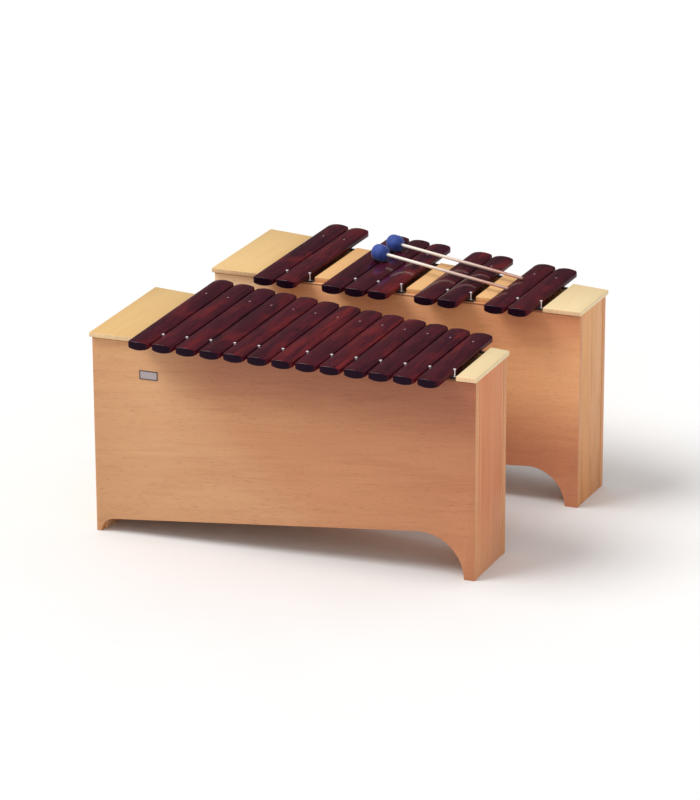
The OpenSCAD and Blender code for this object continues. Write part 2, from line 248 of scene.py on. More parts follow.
def wood(name, light, mid, dark, axis="X", slant=0.0, tilt=0.0, fleck=0.5, streak=1.0, rough=0.42,
         offset=(0, 0, 0), edge=None, edge_axis=None, coat=0.12, shade=(), patch=(), lines=()):
    """Lacquered timber: broad bands, fine streaks and short dark flecks along one axis.

    slant and tilt turn the grain round Z and Y. Painted light and shade, and thin painted lines:
    shade: (axis, from, to, tint), a painted ramp of shade where tint is under 1
    and of light where it is over 1, axis D being X + Z
    patch: (x from, x to, z from, z to, tint), painted shade and light where two ramps meet
    lines: (axis, place, half width, tint, amount), painted shadow lines and painted highlight lines
    edge is the colour of the faces that look along edge_axis."""
    t = Tree(name)

    def grain(pattern, detail, rough, distort=0.0):
        return t.noise(stretch(axis, *pattern), detail, rough, distort, (0, tilt, slant), offset)

    broad = grain(BROAD, 3, 0.5, 0.9)
    figure = grain(FIGURE, 5, 0.6, 0.9)
    fine = grain(FINE, 3, 0.6)
    dash = t.span(grain(FLECK, 1, 0.5), 0.62, 0.72)
    body = t.mix(t.span(broad, 0.32, 0.70), mid, light)
    body = t.mix(t.times(t.span(figure, 0.48, 0.74), FIGURE_MIX * streak), body, dark)
    body = t.mix(t.times(t.span(fine, 0.46, 0.70), FINE_MIX * streak), body, dark)
    body = t.mix(t.times(dash, fleck), body, darker(dark, 0.5))
    if shade or lines or patch:
        pos = t.new("SeparateXYZ")
        t.link(t.place(), pos.inputs[0])

    def shade_ramp(ax, a, b):
        ends = (0, 1) if a < b else (1, 0)
        if ax == "D":
            along = t.math("ADD", pos.outputs[0], pos.outputs[2])
        else:
            along = pos.outputs["XYZ".index(ax)]
        return t.span(along, min(a, b), max(a, b), *ends)

    for ax, a, b, tint in shade:
        body = t.mix(shade_ramp(ax, a, b), body, t.mix(1.0, body, tint, "MULTIPLY"))
    for xa, xb, za, zb, tint in patch:
        both = t.times(shade_ramp("X", xa, xb), shade_ramp("Z", za, zb))
        body = t.mix(both, body, t.mix(1.0, body, tint, "MULTIPLY"))
    for ax, at, half, tint, amount in lines:
        off = t.math("ABSOLUTE", t.math("SUBTRACT", pos.outputs["XYZ".index(ax)], at))
        body = t.mix(t.span(off, half * 0.7, half * 1.3, amount, 0), body, tint)
    if edge:
        side = t.math("ABSOLUTE", t.normal()["XYZ".index(edge_axis)])
        rings = t.span(t.noise(END_RINGS, 3, 0.6), 0.35, 0.7)
        body = t.mix(t.span(side, 0.75, 0.9), body, t.mix(rings, edge, darker(edge, 0.82)))
    t.color(body)
    t.rough(t.span(figure, 0.3, 0.75, rough - 0.06, rough + 0.10))
    t.set(Coat_Weight=coat, Coat_Roughness=0.3, IOR=1.45, Specular_IOR_Level=0.3)
    t.bump(t.math("ADD", t.times(fine, 0.5), t.times(dash, -0.8)), 0.14, 0.0004)
    return t.mat


def rosewood(name):
    """Dark polished tone wood, grain along Y.

    Each bar has a tone of its own: its mesh attribute gives redness and darkness."""
    t = Tree(name)
    tone = t.new("SeparateColor")
    t.link(t.new("Attribute", attribute_name="tone").outputs["Color"], tone.inputs[0])
    redness, darkness = tone.outputs[0], tone.outputs[1]
    purple, brown, red, black = lin(70, 18, 39), lin(95, 27, 38), lin(138, 40, 38), lin(34, 10, 22)
    band = t.noise((34, 3.0, 34), 4, 0.55, 0.6)
    streak = t.noise((72, 3.4, 72), 5, 0.58, 0.5)
    fine = t.noise((210, 16, 210), 5, 0.72)
    vein = t.noise((88, 2.0, 88), 3, 0.5, 0.9, (0, 0, 0.012))
    vein = t.span(t.math("ABSOLUTE", t.math("SUBTRACT", vein, 0.5)), 0.0, 0.05, 1.0, 0.0)
    blotch = t.noise((17, 6.5, 17), 3, 0.55, 0.4, (0, 0, 0), (3.1, 1.7, 0.4))
    pores = t.span(t.noise((900, 60, 900), 1, 0.5), 0.64, 0.72)
    body = t.mix(t.span(band, 0.32, 0.66), purple, brown)
    body = t.mix(t.times(t.span(streak, 0.42, 0.66), redness), body, red)
    body = t.mix(t.times(vein, 0.50), body, black)
    body = t.mix(t.times(t.span(fine, 0.45, 0.62), 0.55), body, black)
    body = t.mix(t.times(darkness, 0.7), body, black)
    body = t.mix(t.span(blotch, 0.54, 0.74, 0, 0.5), body, red)
    body = t.mix(t.span(blotch, 0.44, 0.26, 0, 0.6), body, black)
    body = t.mix(t.times(pores, 0.45), body, black)
    # Faces that look along Y, the bar ends, are darker and duller,
    # and upright faces shine less than the crowned tops.
    normal = t.normal()
    end = t.span(t.math("ABSOLUTE", normal[1]), 0.55, 0.85)
    rings = t.span(t.noise((420, 420, 420), 3, 0.6), 0.35, 0.7)
    t.color(t.mix(end, body, t.mix(rings, lin(36, 16, 32), lin(20, 8, 18))))
    t.rough(t.math("ADD", t.span(streak, 0.3, 0.75, 0.09, 0.18), t.times(end, 0.16)))
    t.set(IOR=1.45, Specular_IOR_Level=0.3)
    shine = t.span(t.math("ABSOLUTE", normal[2]), 0.25, 0.7, 0.06, 0.85)
    t.link(shine, t.bsdf.inputs["Specular IOR Level"])
    t.bump(t.math("SUBTRACT", t.times(fine, 0.6), pores), 0.16, 0.0003)
    return t.mat


def metal(name, color, rough, metallic):
    t = Tree(name)
    n = t.noise((900, 900, 900), 3, 0.6)
    t.color(t.mix(t.span(n, 0.35, 0.7), color, darker(color, 0.82)))
    t.rough(t.span(n, 0.3, 0.7, rough, rough + 0.12))
    t.set(Metallic=metallic)
    t.bump(n, 0.05, 0.0001)
    return t.mat


def felt_mat(name, color):
    t = Tree(name)
    fibre = t.noise((1500, 1500, 1500), 5, 0.7)
    cloud = t.noise((180, 180, 180), 3, 0.6)
    body = t.mix(t.span(fibre, 0.3, 0.75), darker(color, 0.55), darker(color, 1.7))
    t.color(t.mix(t.times(t.span(cloud, 0.3, 0.7), 0.4), body, color))
    t.set(Roughness=0.95, Sheen_Weight=0.35, Sheen_Roughness=0.5)
    t.bump(fibre, 0.6, 0.0008)
    return t.mat


def rubber_mat(name, color, rough=0.6):
    t = Tree(name)
    n = t.noise((1200, 1200, 1200), 3, 0.6)
    t.color(t.mix(t.span(n, 0.3, 0.7), color, darker(color, 1.5)))
    t.rough(t.span(n, 0.3, 0.7, rough - 0.08, rough + 0.12))
    t.bump(n, 0.15, 0.0002)
    return t.mat


def head_mat(name):
    """Dense blue mallet head, mottled, with a fine nap."""
    t = Tree(name)
    mottle = t.noise((70, 70, 70), 4, 0.6)
    nap = t.noise((1400, 1400, 1400), 4, 0.65)
    body = t.mix(t.span(mottle, 0.32, 0.70), lin(38, 63, 144), lin(60, 89, 176))
    t.color(t.mix(t.times(t.span(nap, 0.40, 0.72), 0.35), body, lin(30, 48, 112)))
    t.rough(t.span(nap, 0.3, 0.7, 0.62, 0.82))
    t.set(Sheen_Weight=0.25, Sheen_Roughness=0.45)
    t.bump(t.math("ADD", nap, t.times(mottle, 0.6)), 0.35, 0.0008)
    return t.mat


def shaft_mat(name):
    """Pale turned shaft, warmer towards the butt; the mesh attribute is the share of its length."""
    t = Tree(name)
    along = t.new("Attribute", attribute_name="along").outputs["Fac"]
    grain = t.noise((14, 260, 260), 4, 0.6, 0.0, (0, 0, math.radians(12.5)))
    figure = t.span(grain, 0.35, 0.7)
    pale = t.mix(figure, lin(255, 248, 238), lin(244, 228, 204))
    tan = t.mix(figure, lin(204, 156, 138), lin(168, 116, 100))
    t.color(t.mix(t.span(along, 0.28, 0.80), pale, tan))
    t.rough(t.span(grain, 0.3, 0.7, 0.28, 0.4))
    t.set(Coat_Weight=0.4, Coat_Roughness=0.15)
    t.bump(grain, 0.08, 0.0002)
    return t.mat


# Light, middle and dark tone of each timber.
MAPLE = lin(240, 202, 142), lin(234, 192, 130), lin(208, 156, 98)
PALE_MAPLE = lin(247, 224, 178), lin(242, 214, 164), lin(222, 182, 130)
GAP_MAPLE = lin(245, 194, 134), lin(238, 184, 124), lin(206, 146, 90)
BEECH = lin(224, 172, 125), lin(216, 161, 116), lin(185, 123, 84)
# LIT_BEECH is beech painted paler, a lit copy that stands in for light on the chromatic front.
LIT_BEECH = lin(255, 192, 138), lin(250, 182, 129), lin(220, 145, 97)
END_BEECH_A = lin(230, 143, 85), lin(224, 136, 80), lin(192, 106, 62)
END_BEECH_B = lin(243, 180, 117), lin(235, 169, 106), lin(198, 132, 80)
BASS_BEECH = lin(222, 170, 122), lin(213, 157, 109), lin(184, 124, 82)
PLYWOOD = lin(176, 128, 88), lin(156, 108, 72), lin(112, 72, 46)
EDGE = lin(230, 160, 106)
# Painted shadow: a dark line on the front panels just under the caps' overhang.
CAP_SHADOW_LINE = ("Z", 0.5200, 0.0022, lin(112, 64, 38), 0.7)
# Painted highlight: pale lines along the eased edges of the diatonic treble end.
EDGE_HIGHLIGHT = lin(232, 176, 124)
PANEL_SLANT = 0.077
MID_A = CORNER_A.y
MATS = {
    # Diatonic front: painted shade, a diagonal soft shadow, darker towards both ends and redder
    # towards the treble, a painted shadow under the bars (patch) and the painted shadow line under
    # the cap.
    "front_a": wood("beech_front_a", *BEECH, "X", -PANEL_SLANT, 0.095, edge=EDGE, edge_axis="X",
                    fleck=0.24, streak=0.85, lines=[CAP_SHADOW_LINE],
                    shade=[("D", 0.07, 0.20, (0.95, 0.88, 0.85)),
                           ("X", -0.42, 0.45, (0.83, 0.68, 0.68)),
                           ("X", -0.36, -0.53, (0.89, 0.86, 0.82))],
                    patch=[(-0.36, -0.20, 0.35, 0.45, (0.79, 0.66, 0.71))]),
    # Chromatic front: painted shadow of the diatonic box towards the bottom, painted light at the
    # bass end, a painted shadow of cap and bars at the treble top, a little painted light under the
    # middle bars, and the painted shadow line under the cap.
    "front_b": wood("beech_front_b", *LIT_BEECH, "X", -PANEL_SLANT, 0.074, edge=EDGE,
                    edge_axis="X", fleck=0.24, streak=0.85, offset=(0.7, 0.1, 0.9),
                    lines=[CAP_SHADOW_LINE],
                    shade=[("Z", 0.31, 0.15, (0.70, 0.55, 0.58)),
                           ("X", -0.26, -0.36, (1.00, 1.36, 1.62))],
                    patch=[(0.20, 0.38, 0.41, 0.48, (0.80, 0.66, 0.65)),
                           (0.22, 0.10, 0.40, 0.46, (1.0, 1.04, 1.10))]),
    "rear_panel": wood("beech_rear", *BEECH, "X", PANEL_SLANT, fleck=0.16, streak=0.8,
                       offset=(1.3, 0.2, 0.4), edge=EDGE, edge_axis="X"),
    # Diatonic treble end: painted shade, darker downwards, then painted light, paler and less red
    # near the floor against the contact shadow; its three lines are painted highlights along the
    # eased edges.
    "end_a": wood("beech_end_a", *END_BEECH_A, "Z", fleck=0.10, streak=0.7, offset=(0.2, 0.7, 0),
                  shade=[("Z", 0.42, 0.20, (0.90, 0.87, 0.94)),
                         ("Z", 0.20, 0.02, (1.10, 1.50, 1.95))],
                  lines=[("Y", MID_A - 0.079, 0.0022, lin(236, 182, 128), 0.8),
                         ("Y", MID_A - 0.064, 0.0018, EDGE_HIGHLIGHT, 0.7),
                         ("Y", MID_A + 0.077, 0.0026, EDGE_HIGHLIGHT, 0.8)]),
    # Chromatic treble end: painted shade, darker towards the bottom.
    "end_b": wood("beech_end_b", *END_BEECH_B, "Z", fleck=0.12, streak=1.35, offset=(0.5, 0.1, 0),
                  shade=[("Z", 0.50, 0.30, (0.96, 0.93, 0.90)),
                         ("Z", 0.42, 0.05, (0.90, 0.81, 0.76))]),
    "end_bass": wood("beech_end_bass", *BASS_BEECH, "Z", fleck=0.12, offset=(0.8, 0.4, 0)),
    # Cap faces that look along Y: pinkish end grain, and painted light, kept as pale as the lit
    # tops though the key lights them less.
    "cap": wood("maple_cap", *MAPLE, "Y", fleck=0.08, streak=0.55, rough=0.38,
                edge=(0.84, 0.58, 0.32), edge_axis="Y"),
    "cap_pale": wood("maple_cap_pale", *PALE_MAPLE, "Y", fleck=0.06, streak=0.5, rough=0.38,
                     offset=(0.9, 0.3, 0), edge=(0.96, 0.64, 0.37), edge_axis="Y"),
    "gap_board": wood("maple_gap", *GAP_MAPLE, "Y", fleck=0.12, streak=0.6, rough=0.4,
                      offset=(0.4, 0, 0)),
    "inner": wood("plywood_inner", *PLYWOOD, "X", fleck=0.4, rough=0.7, coat=0.0),
    "peg": wood("peg_maple", *MAPLE, "X", fleck=0.1, rough=0.45),
    "rosewood": rosewood("rosewood_bars"),
    # Front nail heads: nickel painted near white, a painted highlight standing in for their
    # reflection. Rear nails: the same nickel painted darker and pinker, a painted shade of the
    # holes they sit in.
    "nickel": metal("nickel_pins", (0.98, 0.90, 0.93), 0.34, 0.08),
    "nickel_rear_painted_shade": metal("nickel_pins_rear_painted_shade", (0.62, 0.40, 0.46), 0.36, 0.08),
    "felt": felt_mat("black_felt", (0.018, 0.015, 0.015)),
    "sleeve": rubber_mat("pin_sleeve_rubber", (0.02, 0.02, 0.022)),
    "plate": metal("plate_face", (0.50, 0.42, 0.43), 0.40, 0.55),
    "plate_rim": rubber_mat("plate_rim", (0.035, 0.035, 0.045), 0.45),
    "mallet_head": head_mat("mallet_head_blue"),
    "mallet_shaft": shaft_mat("mallet_shaft_birch"),
}

# ---------------------------------------------------------------- mesh tools


def shade_smooth(me, sharp):
    """Smooth shading, with edges past sharp degrees kept sharp."""
    for p in me.polygons:
        p.use_smooth = True
    me.set_sharp_from_angle(angle=math.radians(sharp))


def linked(name, bm):
    """Object in the scene from a bmesh, which is used up."""
    me = bpy.data.meshes.new(name)
    bm.to_mesh(me)
    bm.free()
    ob = bpy.data.objects.new(name, me)
    bpy.context.scene.collection.objects.link(ob)
    return ob


def make(name, bm, mats, node, smooth=None):
    """Piece that stands for a CAD node, on the node's body."""
    bmesh.ops.recalc_face_normals(bm, faces=bm.faces)
    ob = linked(name, bm)
    for m in mats:
        ob.data.materials.append(MATS[m])
    if smooth is not None:
        shade_smooth(ob.data, smooth)
    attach(ob, BODY_OF[node])
    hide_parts(node)
    return ob


def paint(node, mat):
    """Gives a CAD node that stays visible its material."""
    mesh = NODES[node].data
    mesh.materials.clear()
    mesh.materials.append(MATS[mat])


def bevel_sharp(bm, width, segments):
    """Rounds every edge that turns by more than 35 degrees."""
    bm.normal_update()
    edges = [e for e in bm.edges if len(e.link_faces) == 2
             and e.calc_face_angle(0) > math.radians(35)]
    bmesh.ops.bevel(bm, geom=edges, offset=width, segments=segments, profile=0.5,
                    affect="EDGES", clamp_overlap=True)


def prism_bm(lower, upper):
    """Closed solid between two matching rings of points."""
    bm = bmesh.new()
    a = [bm.verts.new(p) for p in lower]
    b = [bm.verts.new(p) for p in upper]
    bm.faces.new(list(reversed(a)))
    bm.faces.new(b)
    n = len(a)
    for i in range(n):
        bm.faces.new((a[i], a[(i + 1) % n], b[(i + 1) % n], b[i]))
    return bm


def lathe(bm, profile, place, seg, axis=Vector((0, 0, 1))):
    """Closed turned shape: profile is (radius, height) from bottom centre to top centre."""
    rot = Vector((0, 0, 1)).rotation_difference(axis).to_matrix()
    rings = []
    for r, h in profile:
        if r < 1e-7:
            rings.append([bm.verts.new(place + rot @ Vector((0, 0, h)))])
        else:
            rings.append([bm.verts.new(place + rot @ Vector((
                r * math.cos(2 * math.pi * i / seg), r * math.sin(2 * math.pi * i / seg), h)))
                for i in range(seg)])
    for lo, hi in zip(rings, rings[1:]):
        for i in range(seg):
            j = (i + 1) % seg
            quad = [lo[i % len(lo)], lo[j % len(lo)], hi[j % len(hi)], hi[i % len(hi)]]
            quad = list(dict.fromkeys(quad))
            if len(quad) > 2:
                bm.faces.new(quad)


# ---------------------------------------------------------------- boxes


def panel_outline(u):
    """Front view of a long panel: (x, z) round its edge, with an arc beside each foot."""
    foot, r = ARCH[u]
    x0, x1 = BASS_FOOT + BASS_ARCH_R, LENGTH[u] - foot - r
    pts = [(0, 0)]
    lo = math.asin(ARCH_DROP / BASS_ARCH_R)
    top = math.radians(90)
    for i in range(13):
        a = lo + (top - lo) * i / 12
        pts.append((x0 - BASS_ARCH_R * math.cos(a), BASS_ARCH_R * math.sin(a) - ARCH_DROP))
    lo = math.asin(ARCH_DROP / r)
    for i in range(25):
        a = top - (top - lo) * i / 24
        pts.append((x1 + r * math.cos(a), r * math.sin(a) - ARCH_DROP))
    pts += [(LENGTH[u], 0), (LENGTH[u], HEIGHT), (0, HEIGHT)]
    return pts


def long_panel(u, side):
    node = ("front_panel_" if side < 0 else "rear_panel_") + u
    mat = "front_" + u if side < 0 else "rear_panel"
    outer, inner = [], []
    for x, z in panel_outline(u):
        outer.append(FRAME[u] @ Vector((x, side * half_depth(u, x), z)))
        inner.append(FRAME[u] @ Vector((x, side * (half_depth(u, x) - BOARD), z)))
    bm = prism_bm(outer, inner)
    bevel_sharp(bm, PANEL_EASE, 2)
    make(node + "_board", bm, [mat], node, 40)


def plan_board(node, mat, u, x0, x1, grow, z0, z1, ease):
    """Board with the box's tapered plan between x0 and x1, grown sideways, eased edges."""
    ring = [(x0, -1), (x1, -1), (x1, 1), (x0, 1)]
    lower, upper = ([FRAME[u] @ Vector((x, s * (half_depth(u, x) + grow), z)) for x, s in ring]
                    for z in (z0, z1))
    bm = prism_bm(lower, upper)
    bevel_sharp(bm, ease, 3)
    make(node + "_board", bm, [mat], node, 40)


CAP_TOP = HEIGHT + CAP_THICK
# Gaps left open after a group's last bar and before its first.
TAIL = {"a": 0.0118, "b": 0.0126}
LEAD = {"a": 0.0035, "b": 0.003}
PANEL_EASE, END_EASE, CAP_EASE, GAP_EASE = 0.0009, 0.0008, 0.0018, 0.0012
GAP_SEAT = 0.004

for u in "ab":
    long_panel(u, -1)
    long_panel(u, 1)
    for node, mat, x in ((f"bass_end_{u}", "end_bass", END_INSET),
                         (f"treble_end_{u}", "end_" + u, LENGTH[u] - BOARD - END_INSET)):
        plan_board(node, mat, u, x, x + BOARD, -BOARD, 0, HEIGHT, END_EASE)
    for node, mat, x0, x1 in (
            (f"bass_cap_{u}", "cap", -CAP_OVER_X, bar_left(u, 0) - LEAD[u]),
            (f"treble_cap_{u}", "cap_pale", bar_right(u, PLACES[u][-1]) + TAIL[u],
             LENGTH[u] + CAP_OVER_X)):
        plan_board(node, mat, u, x0, x1, CAP_OVER_Y, HEIGHT, CAP_TOP, CAP_EASE)
    for node in (f"corner_posts_{u}", f"chamber_floor_{u}", f"partitions_{u}"):
        paint(node, "inner")
    paint(f"felt_strips_{u}", "felt")
for i, (left, right) in enumerate(((1, 3), (5, 7), (8, 10)), 1):
    plan_board(f"gap_board_{i}", "gap_board", "b", bar_right("b", left) + TAIL["b"],
               bar_left("b", right) - LEAD["b"], GAP_SEAT - BOARD, HEIGHT, CAP_TOP, GAP_EASE)

# ---------------------------------------------------------------- bars

BAR_Z0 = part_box("bar_c3")[0].z
BAR_Z1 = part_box("bar_c3")[1].z
CROWN_R = BAR_W ** 2 / 8 / CROWN + CROWN / 2
BELLY_R = BAR_W ** 2 / 8 / BELLY + BELLY / 2
EASE = 0.0011
# Steps across a bar and along its tuning hollow, and the hollow's share of the half length.
ACROSS, HOLLOW_STEPS, HOLLOW = 26, 22, 0.36


def bar_ring(w, shrink):
    """Ring of (x, z) round a bar cut to half width w, z from its underside."""
    mid = BAR_T / 2
    wide = w - shrink

    def top(x):
        return BAR_T - CROWN_R + math.sqrt(CROWN_R ** 2 - x * x)

    def low(x):
        return BELLY_R - math.sqrt(BELLY_R ** 2 - x * x)

    # Two steps round each eased corner, as shares of EASE.
    mid_share = 0.293
    down, back = ((mid_share, mid_share), (1.0, 0.0)), ((0.0, 1.0), (mid_share, mid_share))
    xs = [(wide - EASE) * (1 - 2 * i / ACROSS) for i in range(ACROSS + 1)]
    z_hi, z_lo = top(wide), low(wide)
    pts = [(x, top(x)) for x in xs]
    pts += [(EASE * b - wide, z_hi - EASE * a) for a, b in down]
    pts += [(EASE * a - wide, z_lo + EASE * b) for a, b in back]
    pts += [(-x, low(x)) for x in xs]
    pts += [(wide - EASE * b, z_lo + EASE * a) for a, b in down]
    pts += [(wide - EASE * a, z_hi - EASE * b) for a, b in back]
    k = 1 - shrink / mid
    return [(x, mid + (z - mid) * k) for x, z in pts]


def bar_bm(u, cx, cy, half):
    """Crowned bar with a curved belly, arched ends and a tuning hollow, in the box's frame."""
    flat = half * HOLLOW
    tune_r = (flat * flat + TUNE * TUNE) / 2 / TUNE
    quarter = [math.pi / 2 * i / 3 for i in range(4)]
    # One end, from its face inwards: (distance from the end, shrink of the ring there).
    end = [(EASE * (1 - math.cos(a)), EASE * (1 - math.sin(a))) for a in quarter]
    end += [(f * (half - flat), 0.0) for f in (0.12, 0.35, 0.7)]
    full = [(-1, d, sh) for d, sh in end]
    full += [(0, -flat + 2 * flat * i / HOLLOW_STEPS, 0.0) for i in range(HOLLOW_STEPS + 1)]
    full += [(1, d, sh) for d, sh in reversed(end)]
    bm = bmesh.new()
    rings = []
    for side, d, shrink in full:
        row = []
        for x, z in bar_ring(BAR_W / 2, shrink):
            arc = max(END_R - math.sqrt(END_R ** 2 - x * x),
                      CORNER_R - CORNER_RISE - math.sqrt(CORNER_R ** 2 - x * x))
            y = d if side == 0 else side * (half - d - arc * max(0.0, 1 - d / (half - flat)))
            if abs(y) < flat:
                z = max(z, TUNE - tune_r + math.sqrt(max(0, tune_r ** 2 - y * y)))
            row.append(bm.verts.new(FRAME[u] @ Vector((cx + x, cy + y, BAR_Z0 + z))))
        rings.append(row)
    n = len(rings[0])
    for a, b in zip(rings, rings[1:]):
        for i in range(n):
            bm.faces.new((a[i], a[(i + 1) % n], b[(i + 1) % n], b[i]))
    for cap in (rings[0], rings[-1]):
        for i in range(ACROSS):
            j = 2 * ACROSS + 5 - i
            bm.faces.new((cap[i], cap[i + 1], cap[j - 1], cap[j]))
        bm.faces.new(cap[ACROSS:ACROSS + 6])
        bm.faces.new([cap[0], *reversed(cap[2 * ACROSS + 5:])])
    return bm


def cut(ob, bm):
    """Takes the closed shapes in bm away from ob and keeps the result as its mesh."""
    bmesh.ops.recalc_face_normals(bm, faces=bm.faces)
    cutter = linked("cutter", bm)
    m = ob.modifiers.new("cut", "BOOLEAN")
    m.operation, m.solver, m.object = "DIFFERENCE", "EXACT", cutter
    bpy.context.view_layer.update()
    dg = bpy.context.evaluated_depsgraph_get()
    me = bpy.data.meshes.new_from_object(ob.evaluated_get(dg))
    ob.modifiers.clear()
    spent = [ob.data, cutter.data]
    ob.data = me
    bpy.data.objects.remove(cutter)
    for data in spent:
        bpy.data.meshes.remove(data)


rng = random.Random(7)
# Each bar's share of red figure and of dark stain, from the bass up.
REDNESS = {
    "a": [0.25, 0.18, 0.22, 0.40, 0.62, 0.35, 0.80, 0.42, 0.85, 0.30, 0.38, 0.45, 0.40],
    "b": [0.20, 0.55, 0.15, 0.25, 0.65, 0.35, 0.30, 0.28, 0.35],
}
DARKNESS = {
    "a": [0.20, 0.15, 0.18, 0.45, 0.10, 0.20, 0.0, 0.25, 0.05, 0.45, 0.40, 0.25, 0.35],
    "b": [0.45, 0.30, 0.50, 0.45, 0.25, 0.35, 0.50, 0.45, 0.40],
}
# The cutters start CUT_BELOW under a bar; the pin hole widens by HOLE_FLARE at its mouth.
CUT_BELOW, CUT_TOP = 0.005, 0.032
HOLE_FLARE, FLARE_FROM, FLARE_TO = 0.0008, 0.0266, 0.0274
HOLE = [(0, 0), (HOLE_R, 0), (HOLE_R, FLARE_FROM), (HOLE_R + HOLE_FLARE, FLARE_TO),
        (HOLE_R + HOLE_FLARE, CUT_TOP), (0, CUT_TOP)]
RELIEF = [(0, 0), (RELIEF_R, 0), (RELIEF_R, CUT_TOP), (0, CUT_TOP)]

for u in "ab":
    for note, k, red, dark in zip(BARS[u], PLACES[u], REDNESS[u], DARKNESS[u]):
        node = f"bar_{note}"
        x = bar_mid(u, k)
        ob = make(node + "_wood", bar_bm(u, x, row_y(u, x), bar_half(u, x)), ["rosewood"], node)
        bm = bmesh.new()
        lathe(bm, HOLE, FRAME[u] @ Vector((x, wall_y(u, x), BAR_Z0 - CUT_BELOW)), 24)
        for side in (-1, 1):
            xs = x + side * PITCH[u] / 2
            lathe(bm, RELIEF, FRAME[u] @ Vector((xs, -wall_y(u, xs), BAR_Z0 - CUT_BELOW)), 24)
        cut(ob, bm)
        me = ob.data
        att = me.attributes.new("tone", "FLOAT_COLOR", "POINT")
        red += rng.uniform(-0.05, 0.05)
        att.data.foreach_set("color", [red, dark, 0, 1] * len(me.vertices))
        shade_smooth(me, 32)

# ---------------------------------------------------------------- pins, sleeves, plate, peg

PIN_R, PIN_HEAD_R, REAR_HEAD_R, SLEEVE_R = 0.0017, 0.0036, 0.0029, 0.0026
# Heights over the wall top; the point lies PIN_DEPTH under it and tapers from PIN_TAPER.
PIN_TOP, REAR_TOP = BAR_Z1 - 0.0016 - HEIGHT, BAR_Z1 - 0.0004 - HEIGHT
PIN_DEPTH, PIN_TAPER, POINT = 0.016, 0.013, 0.4
WASHER, WASHER_T = 0.0016, 0.0007
# Round the head from its underside to its crown: (share of its radius, depth under the top).
HEAD_CURVE = ((0.86, 0.0014), (1.0, 0.0011), (0.96, 0.0006), (0.62, 0.0001))
# The sleeve clears the pin, stands over the felt, and ends short of the bar's top.
SLEEVE_GAP, SLEEVE_LIFT, SLEEVE_SHORT, SLEEVE_EASE = 0.0001, 0.001, 0.006, 0.0006


def nail_profile(top, head_r):
    """Nail with a small base washer and a domed head."""
    return [(0, -PIN_DEPTH), (PIN_R * POINT, -PIN_DEPTH), (PIN_R, -PIN_TAPER), (PIN_R, FELT_H),
            (PIN_R + WASHER, FELT_H), (PIN_R + WASHER, FELT_H + WASHER_T),
            (PIN_R, FELT_H + WASHER_T + 0.0001), (PIN_R, top - 0.0015),
            *((head_r * share, top - depth) for share, depth in HEAD_CURVE), (0, top)]


def sleeve_profile():
    bore, low, high = PIN_R + SLEEVE_GAP, FELT_H + SLEEVE_LIFT, FELT_H + BAR_T - SLEEVE_SHORT
    return [(bore, low), (SLEEVE_R, low), (SLEEVE_R, high - SLEEVE_EASE),
            (SLEEVE_R - SLEEVE_EASE, high), (bore, high), (bore, low)]


for u in "ab":
    front, rear, sleeves = bmesh.new(), bmesh.new(), bmesh.new()
    for k in PLACES[u]:
        x = bar_right(u, k) + (PITCH[u] - BAR_W) / 2
        at = FRAME[u] @ Vector((x, -wall_y(u, x), HEIGHT))
        lathe(front, nail_profile(PIN_TOP, PIN_HEAD_R), at, 20)
        x = bar_mid(u, k)
        at = FRAME[u] @ Vector((x, wall_y(u, x), HEIGHT))
        lathe(rear, nail_profile(REAR_TOP, REAR_HEAD_R), at, 20)
        lathe(sleeves, sleeve_profile(), at, 20)
    for node, kind, bm, mat, slot in (("front_pins", "nails", front, "nickel", "nickel"),
                                      ("rear_pins", "nails", rear, "nickel_rear_painted_shade", "nickel"),
                                      ("pin_sleeves", "tubes", sleeves, "sleeve", "sleeve_rubber")):
        make(f"{node}_{u}_{kind}", bm, [mat], f"{node}_{u}", 30)

# Blank plate: dark raised rim round a satin face set back from it.
PLATE_X, PLATE_W, PLATE_H, PLATE_T = 0.149, 0.048, 0.023, 0.0014
RIM, RIM_SLOPE, FACE_DEPTH = 0.0018, 0.0004, 0.55
lo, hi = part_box("name_plate")
base = (FRAME["a"] @ Matrix.Translation((PLATE_X, -half_depth("a", PLATE_X), (lo.z + hi.z) / 2))
        @ Matrix.Rotation(math.atan(taper("a")), 4, "Z"))
bm = bmesh.new()
rows = []
for inset, y in ((0, 0), (0, -PLATE_T), (RIM, -PLATE_T),
                 (RIM + RIM_SLOPE, -PLATE_T * FACE_DEPTH)):
    rows.append([bm.verts.new(base @ Vector((sx * (PLATE_W / 2 - inset), y,
                                             sz * (PLATE_H / 2 - inset))))
                 for sx, sz in ((-1, -1), (1, -1), (1, 1), (-1, 1))])
bm.faces.new(list(reversed(rows[0])))
for a, b in zip(rows, rows[1:]):
    for i in range(4):
        bm.faces.new((a[i], a[(i + 1) % 4], b[(i + 1) % 4], b[i]))
bm.faces.new(rows[-1]).material_index = 1
make("name_plate_blank", bm, ["plate_rim", "plate"], "name_plate")

# Round peg with an eased end.
lo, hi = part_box("end_peg")
r, out = (hi.z - lo.z) / 2, hi.x - lo.x
bm = bmesh.new()
lathe(bm, [(0, 0), (r, 0), (r, out - 0.0008), (r * 0.8, out - 0.0002), (0, out)],
      Vector((lo.x, (lo.y + hi.y) / 2, (lo.z + hi.z) / 2)), 28, Vector((1, 0, 0)))
make("end_peg_turned", bm, ["peg"], "end_peg", 40)

# ---------------------------------------------------------------- mallets


def node_points(node):
    me = NODES[node].data
    co = np.zeros(len(me.vertices) * 3)
    me.vertices.foreach_get("co", co)
    return co.reshape(-1, 3)


HEAD_R, HEAD_L, HEAD_ROUND, SHAFT_R = 0.0215, 0.044, 0.016, 0.0042
